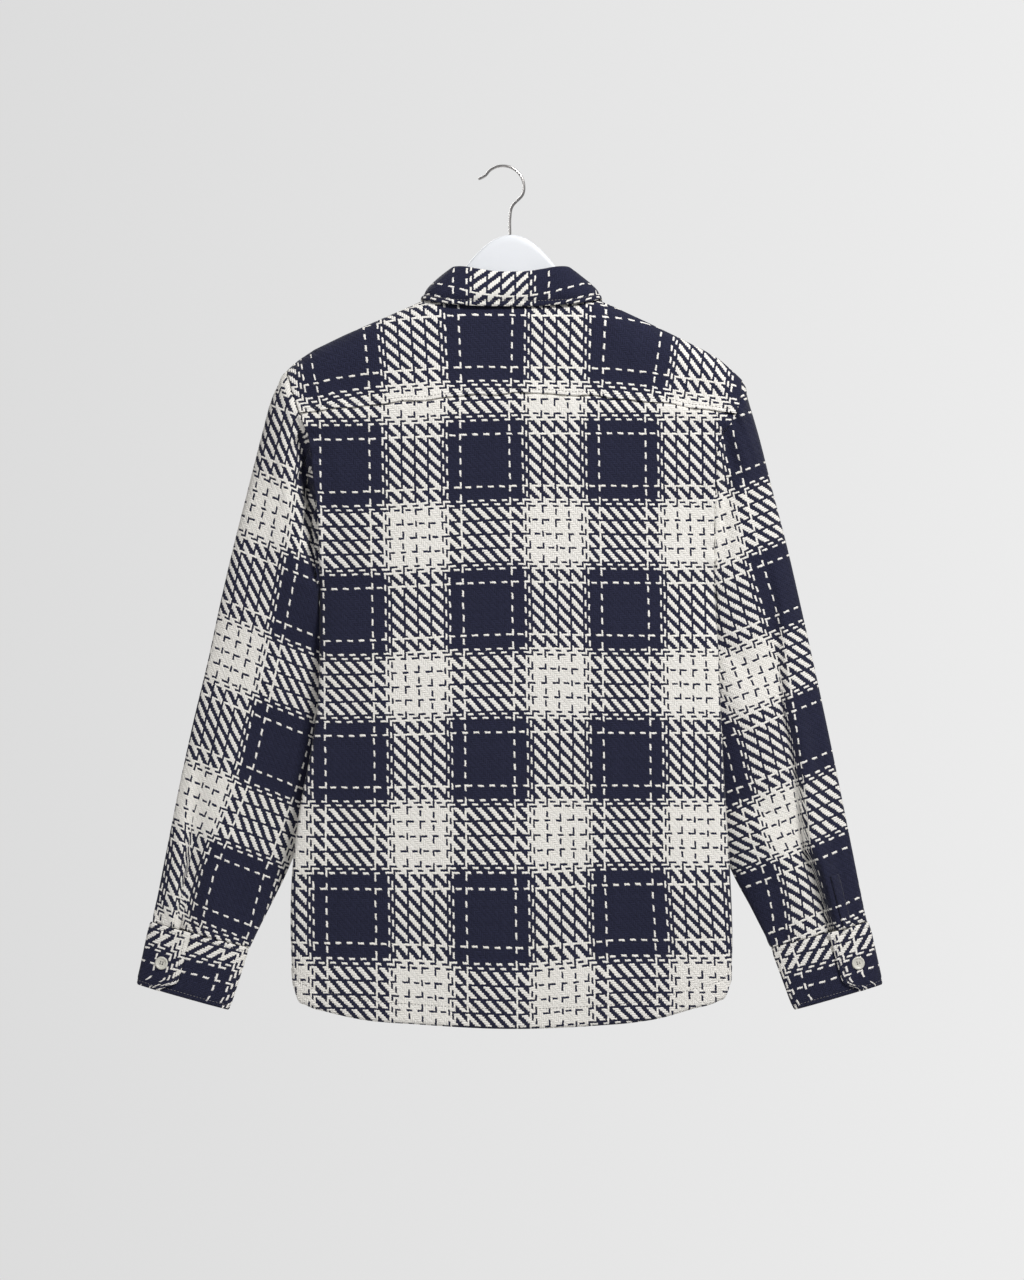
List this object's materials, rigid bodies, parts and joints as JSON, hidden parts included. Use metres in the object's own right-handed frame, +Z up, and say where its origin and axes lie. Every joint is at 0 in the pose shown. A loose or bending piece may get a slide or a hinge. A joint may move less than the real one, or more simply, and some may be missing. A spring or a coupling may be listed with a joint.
{
  "type": "shacket on a clothes hanger",
  "caption": "Long-sleeved check shacket in chunky twill, buttoned, with a turned-down collar, back yoke and buttoned cuffs, hanging on a plain hanger.",
  "frame": {"origin": "the inner top of the hanger's hook, where it sits on a rail", "axes": "+Z up, the back of the garment faces -Y and its fronts face +Y, +X to the wearer's right"},
  "size_m": [0.7763, 0.0537, 0.8967],
  "materials": {
    "twill": "heavy woven cotton twill, navy and cream check",
    "button": "satin",
    "hanger_paint": "smooth white",
    "hook_wire": "polished"
  },
  "bodies": {
    "root": {"back": "twill", "yoke": "twill", "front_left": "twill", "front_right": "twill", "front_placket": "twill", "sleeve_left": "twill", "sleeve_right": "twill", "sleeve_placket_left": "twill", "sleeve_placket_right": "twill", "cuff_left": "twill", "cuff_right": "twill", "collar_stand": "twill", "collar_fall": "twill", "button_front_1": "button", "button_front_2": "button", "button_front_3": "button", "button_front_4": "button", "button_front_5": "button", "button_front_6": "button", "button_front_7": "button", "button_cuff_left": "button", "button_cuff_right": "button", "hanger_body": "hanger_paint", "hanger_hook": "hook_wire"}
  },
  "joints": []
}
